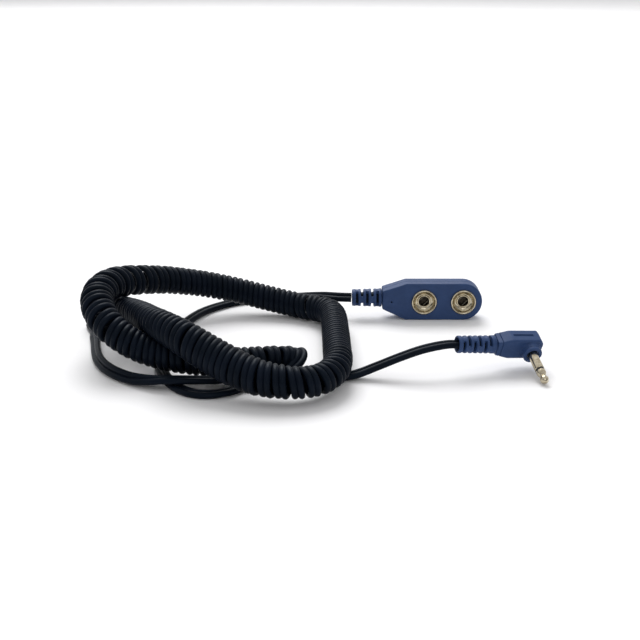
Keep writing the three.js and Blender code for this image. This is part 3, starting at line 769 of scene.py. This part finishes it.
def make_front_shell():
    shell = hollow_half("front_shell", FACE_Y, 1)
    for x in SOCKETS.values():
        for radius, depth in ((BORE_R, MID_Y), (SEAT_R, FACE_Y + SEAT_DEPTH)):
            cutter = rod_y("bore", radius, FACE_Y - 1, depth, x, HEAD_Z)
            shell = combined(shell, cutter, "DIFFERENCE")
    x, radius = PINHOLE
    shell = combined(shell, rod_y("pinhole", radius, FACE_Y - 1, MID_Y, x, HEAD_Z, 32), "DIFFERENCE")
    even_shading(make_piece("head_front", tidied(in_place(shell), 32), "blue_plastic",
                            replaces=("head_front_shell",)))


def make_fin():
    """The lanyard fin; its hole is flared on both sides."""
    fin = edged_slab("fin", rounded(FIN), HEAD_Z - FIN_HALF, HEAD_Z + FIN_HALF,
                     FIN_EDGE, FIN_EDGE, along_z)
    x, y, radius = FIN_HOLE
    levels = [(-FIN_HALF - 0.5, 0.8), (-FIN_HALF + 0.3, 0), (FIN_HALF - 0.3, 0), (FIN_HALF + 0.5, 0.8)]
    rings = [[(x + (radius + more) * math.cos(t), y + (radius + more) * math.sin(t), HEAD_Z + h)
              for t in circle(64)] for h, more in levels]
    return combined(fin, rings_mesh("fin_hole", rings), "DIFFERENCE")


def ridge(x):
    """A low half-round bar across the neck's back."""
    share = (x - NECK_X) / (TAPER_X - NECK_X)
    low, high = (side + (HEAD_HALF - side) * share - 1.1 for side in (NECK_BELOW, NECK_ABOVE))
    arc = [math.pi * k / 10 for k in range(11)]
    root = BACK_Y - 0.3
    rings = []
    for z, size in ((-low, 0.2), (-low + 0.08, 0.75), (-low + 0.3, 1), (high - 0.3, 1),
                    (high - 0.08, 0.75), (high, 0.2)):
        half = RIDGE_HALF * size
        top = [(x + size * RIDGE_HALF * math.cos(t), BACK_Y + size * RIDGE_PROUD * math.sin(t),
                HEAD_Z + z) for t in arc]
        rings.append(top + [(x - half, root, HEAD_Z + z), (x + half, root, HEAD_Z + z)])
    return rings_mesh("ridge", rings)


def make_rear_shell():
    shell = hollow_half("rear_shell", BACK_Y, -1)
    shell = combined(shell, make_fin(), "UNION")
    for k in range(RIDGES):
        shell = combined(shell, ridge(NECK_X + 1.9 + k * RIDGE_PITCH), "UNION")
    even_shading(make_piece("head_rear", tidied(in_place(shell), 32), "blue_plastic",
                            replaces=("head_rear_shell",)))


# ---- strain reliefs ----


def relief_mesh(name, radii, length, slots, pitch, first, core, bore, stub):
    """A slotted sleeve along X from 0. radii are at the cord's end and the case's end; stub is
    (radius, length) of the part that goes into the case. Slots start at first, every pitch,
    and reach in to the radius core. They are bridged in turn top and bottom, then front and
    back."""
    sides = 96
    slot_width = 1.0
    soft = 0.07                   # half the width of a slot wall
    round_off = 0.14              # how much a rib's shoulders drop
    shoulder = 0.42               # and how far from the slot they start to
    bridge = 0.42                 # half a bridge's width, as a share of the radius
    fade = 0.25                   # the width over which a bridge falls to the slot's bottom
    angles = np.arange(sides) * 2 * np.pi / sides

    def envelope(x):
        return radii[0] + (radii[1] - radii[0]) * x / length

    stations = [(0.32, None)]
    for i in range(slots):
        start = first + i * pitch
        end = start + slot_width
        for x in (start - shoulder, start - 0.2, start - soft, start + soft, end - soft,
                  end + soft, end + 0.2, end + shoulder):
            stations.append((x, i))
    stations.append((length - 0.2, None))

    def radius_at(x, i):
        radius = np.full(sides, envelope(x))
        if i is None:
            return radius
        start = first + i * pitch
        outside = max(start - x, x - start - slot_width)
        radius -= round_off * max(0.0, 1 - max(outside, 0) / shoulder) ** 2
        if outside >= 0:
            return radius
        across = np.cos(angles) if i % 2 == 0 else np.sin(angles)
        open_part = np.clip((np.abs(across) * envelope(x) - bridge * envelope(x)) / fade, 0, 1)
        return radius - (radius - core) * open_part

    def ring(x, radius):
        return [(x, r * math.cos(t), r * math.sin(t)) for r, t in zip(radius, angles)]

    flat = np.ones(sides)
    rings = [ring(1.3, flat * (bore - 0.15)), ring(0.12, flat * bore), ring(0.0, flat * (bore + 0.12)),
             ring(0.0, flat * (radii[0] - 0.3)), ring(0.1, flat * (radii[0] - 0.1))]
    rings += [ring(x, radius_at(x, i)) for x, i in stations]
    rings += [ring(length, flat * (radii[1] - 0.16)), ring(length, flat * stub[0]),
              ring(length + stub[1], flat * stub[0])]
    return rings_mesh(name, rings)


def make_core(name, radius, length, at):
    """The black jacket that shows at the bottom of a strain relief's slots."""
    mesh = in_place(rod_x(name, radius, 1.25, length - 0.5, 0, 0), at)
    return make_piece(name, tidied(mesh), "cord_jacket")


def make_head_relief():
    mesh = relief_mesh("head_relief", radii=(3.55, 3.95), length=HEAD_RELIEF_LENGTH, slots=5,
                       pitch=2.15, first=1.6, core=2.2, bore=2.62, stub=(2.5, 2.9))
    at = Matrix.Translation(Vector((HEAD_TAIL_X, MID_Y, NECK_Z)) * MM)
    make_core("head_relief_core", 2.3, HEAD_RELIEF_LENGTH, at)
    make_piece("head_relief", tidied(in_place(mesh, at), 42), "blue_plastic",
               replaces=("head_strain_relief",))


# ---- snap sockets ----

# (radius, depth into the head) of the cup, in the order round its section
CUP_SHOWN = [(5.3, -0.3), (5.22, -0.52), (4.97, -0.66), (4.72, -0.56), (4.5, -0.25), (4.15, 0.35),
             (3.65, 0.92), (3.2, 1.2), (2.92, 1.24), (2.8, 0.98), (2.62, 0.76), (2.35, 0.76),
             (2.17, 0.95), (2.1, 1.3)]
CUP_HIDDEN = [(2.1, 1.7), (3.3, 1.7), (3.95, 1.35), (4.45, 0.7), (4.72, 0.15), (4.72, -0.1),
              (5.18, -0.1)]
LEG_OFFSET = 1.35
LEG_HALF = 3.0
LEG_DEPTH = 2.2
LEG_R = 0.25


def make_cup(place, x):
    profile = smooth_profile(CUP_SHOWN) + CUP_HIDDEN
    mesh = lathe_y(f"cup_{place}", profile, (x, FACE_Y, HEAD_Z))
    make_piece(f"cup_{place}", tidied(in_place(mesh), 40), "nickel",
               replaces=(f"socket_cup_{place}",))


def make_leg(place, x, level, side):
    """One leg of the snap's S spring: a wire beside the stud hole with a short hook."""
    hook = 0.7
    stops = [(-LEG_HALF, 0), (-LEG_HALF / 2, 0), (0, 0), (LEG_HALF / 2, 0), (LEG_HALF - 0.5, 0),
             (LEG_HALF - 0.1, -hook * 0.35), (LEG_HALF + 0.1, -hook)]
    slant = math.sqrt(0.5)
    points = []
    for a, b in stops:
        along, across = a * side, (LEG_OFFSET + b) * side
        points.append((x + (along - across) * slant, FACE_Y + LEG_DEPTH,
                       HEAD_Z + (along + across) * slant))
    mesh = swept_round(f"leg_{level}_{place}", spline(points, 0.2), LEG_R)
    make_piece(f"leg_{level}_{place}", tidied(in_place(mesh), 50), "spring_steel",
               body=f"{place}_{level}_leg", replaces=(f"spring_leg_{level}_{place}",))


# ---- the plug, in its own frame and in millimetres ----

PLUG_HALF = 4.5                   # half its height
BOSS_END = 6.0
# (x, half height, half depth): a thin groove near the strain relief, and a chamfered nose
PLUG_SECTIONS = [
    (-13.1, 2.75, 2.7), (-13.03, 2.98, 2.92), (-12.8, 3.16, 3.06), (-11.75, 3.4, 3.14),
    (-11.68, 3.14, 2.9), (-11.36, 3.18, 2.9), (-11.29, 3.5, 3.16), (-8.5, 4.34, 3.2),
    (-8.0, 4.45, 3.2), (-7.4, 4.5, 3.2), (2.7, 4.5, 3.2), (3.05, 4.42, 3.2), (3.3, 4.2, 3.2),
    (3.95, 3.55, 3.18), (4.25, 3.22, 3.12), (4.45, 2.95, 2.95), (4.55, 2.6, 2.65)]
# the boss's (radius, y), and below it the pin's parts, (radius, distance past the boss's end)
BOSS = [(0, -2), (3.7, -2), (3.98, -3.1), (3.88, -3.32), (3.72, -3.5), (3.64, -3.9), (3.6, -4.55),
        (3.46, -4.66), (3.46, -4.86), (3.6, -4.97), (3.6, -5.7), (3.54, -5.88), (3.38, -6.0),
        (2.5, -6.0), (2.34, -5.9), (2.3, -5.5), (0, -5.5)]
SLEEVE = [(0.95, -3.6), (2.35, -3.6), (2.35, -1.3), (1.75, -1.3), (1.75, 7.12), (1.7, 7.26),
          (1.6, 7.35), (0.95, 7.35)]
RING = [(0.55, -4.6), (1.6, -4.6), (1.6, -3.75), (0.82, -3.75), (0.82, 7.47), (1.62, 7.47),
        (1.7, 7.55), (1.7, 8.0), (1.62, 8.1), (0.55, 8.1)]
TIP_START = [(0, -6.0), (0.42, -6.0), (0.42, 8.22), (1.6, 8.22)]
TIP_SHOWN = [(1.75, 8.35), (1.75, 8.8), (1.72, 9.3), (1.5, 9.9), (1.18, 10.6), (1.1, 10.95),
             (1.28, 11.35), (1.52, 11.8), (1.6, 12.3), (1.47, 12.9), (1.12, 13.45), (0.6, 13.86),
             (0, 14.0)]


def make_plug_body():
    rings = []
    for x, high, deep in PLUG_SECTIONS:
        corner = min(0.9, high * 0.5)
        outline = rounded([(-deep, -high, corner), (deep, -high, corner), (deep, high, corner),
                           (-deep, high, corner)], 15)
        rings.append([(x, y, z) for y, z in inset(outline, 0)])
    body = rings_mesh("plug_case", rings)
    body = combined(body, lathe_y("boss", BOSS, (0, 0, 0), 72), "UNION")
    line = edged_slab("line", rounded([(-7.0, -0.5, 0.15), (0.9, -0.5, 0.15), (0.9, 0.55, 0.15),
                                       (-7.0, 0.55, 0.15)]), PLUG_HALF - 0.35, 6, 0.02, 0.1, along_z)
    body = combined(body, line, "DIFFERENCE")
    bore = rod_y("sleeve_bore", 2.0, -BOSS_END - 1, -1, 0, 0, 48)
    body = combined(body, bore, "DIFFERENCE")
    return even_shading(make_piece("plug_case", tidied(in_place(body, PLUG_FRAME), 32), "blue_plastic",
                                   replaces=("plug_body",)))


def make_plug_relief():
    mesh = relief_mesh("plug_relief", radii=(3.2, 3.4), length=PLUG_RELIEF_LENGTH, slots=6,
                       pitch=2.05, first=1.5, core=1.9, bore=2.62, stub=(1.6, 1.9))
    at = PLUG_FRAME @ Matrix.Translation(Vector((PLUG_TAIL, 0, 0)))
    core = make_core("plug_relief_core", 2.0, PLUG_RELIEF_LENGTH, at)
    relief = make_piece("plug_relief", tidied(in_place(mesh, at), 42), "blue_plastic",
                        replaces=("plug_strain_relief",))
    return [core, relief]


def make_pin():
    tip = TIP_START + smooth_profile(TIP_SHOWN, 0.15)
    parts = (("pin_sleeve", SLEEVE, "nickel", "plug_sleeve"),
             ("pin_ring", RING, "black_insulator", "plug_insulator"),
             ("pin_tip", tip, "nickel", "plug_tip"))
    pieces = []
    for name, profile, slot, node in parts:
        mesh = tidied(in_place(lathe_y(name, profile, (0, -BOSS_END, 0), 64, -1), PLUG_FRAME), 40)
        pieces.append(make_piece(name, mesh, slot, replaces=(node,)))
    return pieces


make_front_shell()
make_rear_shell()
make_head_relief()
for socket_place, socket_x in SOCKETS.items():
    make_cup(socket_place, socket_x)
    make_leg(socket_place, socket_x, "upper", 1)
    make_leg(socket_place, socket_x, "lower", -1)
plug_pieces = [make_plug_body(), *make_plug_relief(), *make_pin()]

# ---- what is left of the CAD parts, inside the case and the plug ----

# what each CAD part looks like, by the start of its name
INSIDE_LOOKS = {
    # the socket's back plate gets the nickel darkened with painted shade
    "socket_back": shaded_nickel(), "solder_lug": LOOKS["nickel"], "resistor": LOOKS["resistor_coat"],
    "head_conductor": LOOKS["copper"], "link_wire": LOOKS["cord_jacket"],
    "plug_sleeve_lug": LOOKS["nickel"], "plug_tip_lug": LOOKS["nickel"],
    "plug_conductor": LOOKS["copper"],
}

for node_name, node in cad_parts.items():
    for start, look in INSIDE_LOOKS.items():
        if node_name.startswith(start):
            node.data.materials.clear()
            node.data.materials.append(look)

# ---- floor and light ----


def backdrop_paper():
    n = Nodes("backdrop_paper")
    mottle = n.noise(60 * MM, 3)
    colour = n.ramp(mottle, [(0.3, (0.86, 0.855, 0.87)), (0.7, (0.9, 0.9, 0.905))])
    return n.set(Base_Color=colour, Roughness=0.6, Specular_IOR_Level=0.2)


def make_floor():
    half = 6.0
    points = [(-half, -half, 0), (half, -half, 0), (half, half, 0), (-half, half, 0)]
    mesh = mesh_from("floor", points, [(0, 1, 2, 3)])
    mesh.materials.append(backdrop_paper())
    floor = bpy.data.objects.new("floor", mesh)
    bpy.context.scene.collection.objects.link(floor)


def area_light(name, place, target, size, power):
    data = bpy.data.lights.new(name, "AREA")
    data.shape = "DISK"
    data.size = size
    data.energy = power
    light = bpy.data.objects.new(name, data)
    bpy.context.scene.collection.objects.link(light)
    light.location = place
    aim = Vector(target) - Vector(place)
    light.rotation_euler = aim.to_track_quat("-Z", "Y").to_euler()


def make_light():
    """A bright studio behind and above, dimmer on the camera's side, as in the photo."""
    world = bpy.data.worlds.new("studio")
    bpy.context.scene.world = world
    world.use_nodes = True
    tree = world.node_tree
    sky = tree.nodes["Background"]
    place = tree.nodes.new("ShaderNodeTexCoord").outputs["Generated"]
    towards = tree.nodes.new("ShaderNodeVectorMath")
    towards.operation = "DOT_PRODUCT"
    towards.inputs[1].default_value = (-0.1, 0.75, 0.65)
    fall = tree.nodes.new("ShaderNodeMapRange")
    fall.interpolation_type = "SMOOTHSTEP"
    for key, value in (("From Min", -0.6), ("From Max", 0.7), ("To Min", 0.25), ("To Max", 0.8)):
        fall.inputs[key].default_value = value
    sky.inputs["Color"].default_value = (1, 1, 1, 1)
    tree.links.new(place, towards.inputs[0])
    tree.links.new(towards.outputs["Value"], fall.inputs["Value"])
    tree.links.new(fall.outputs["Result"], sky.inputs["Strength"])
    middle = (-0.05, -0.03, 0)
    area_light("overhead", (-0.5, 2.3, 2.9), middle, 2.6, 112.0)
    area_light("front_fill", (0.1, -1.1, 0.7), middle, 0.9, 2.0)
    bpy.context.scene.view_settings.view_transform = "Standard"


make_floor()
make_light()

plug_pieces += [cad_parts[name] for name in ("plug_sleeve_lug", "plug_tip_lug",
                                                  "plug_conductor_sleeve", "plug_conductor_tip")]
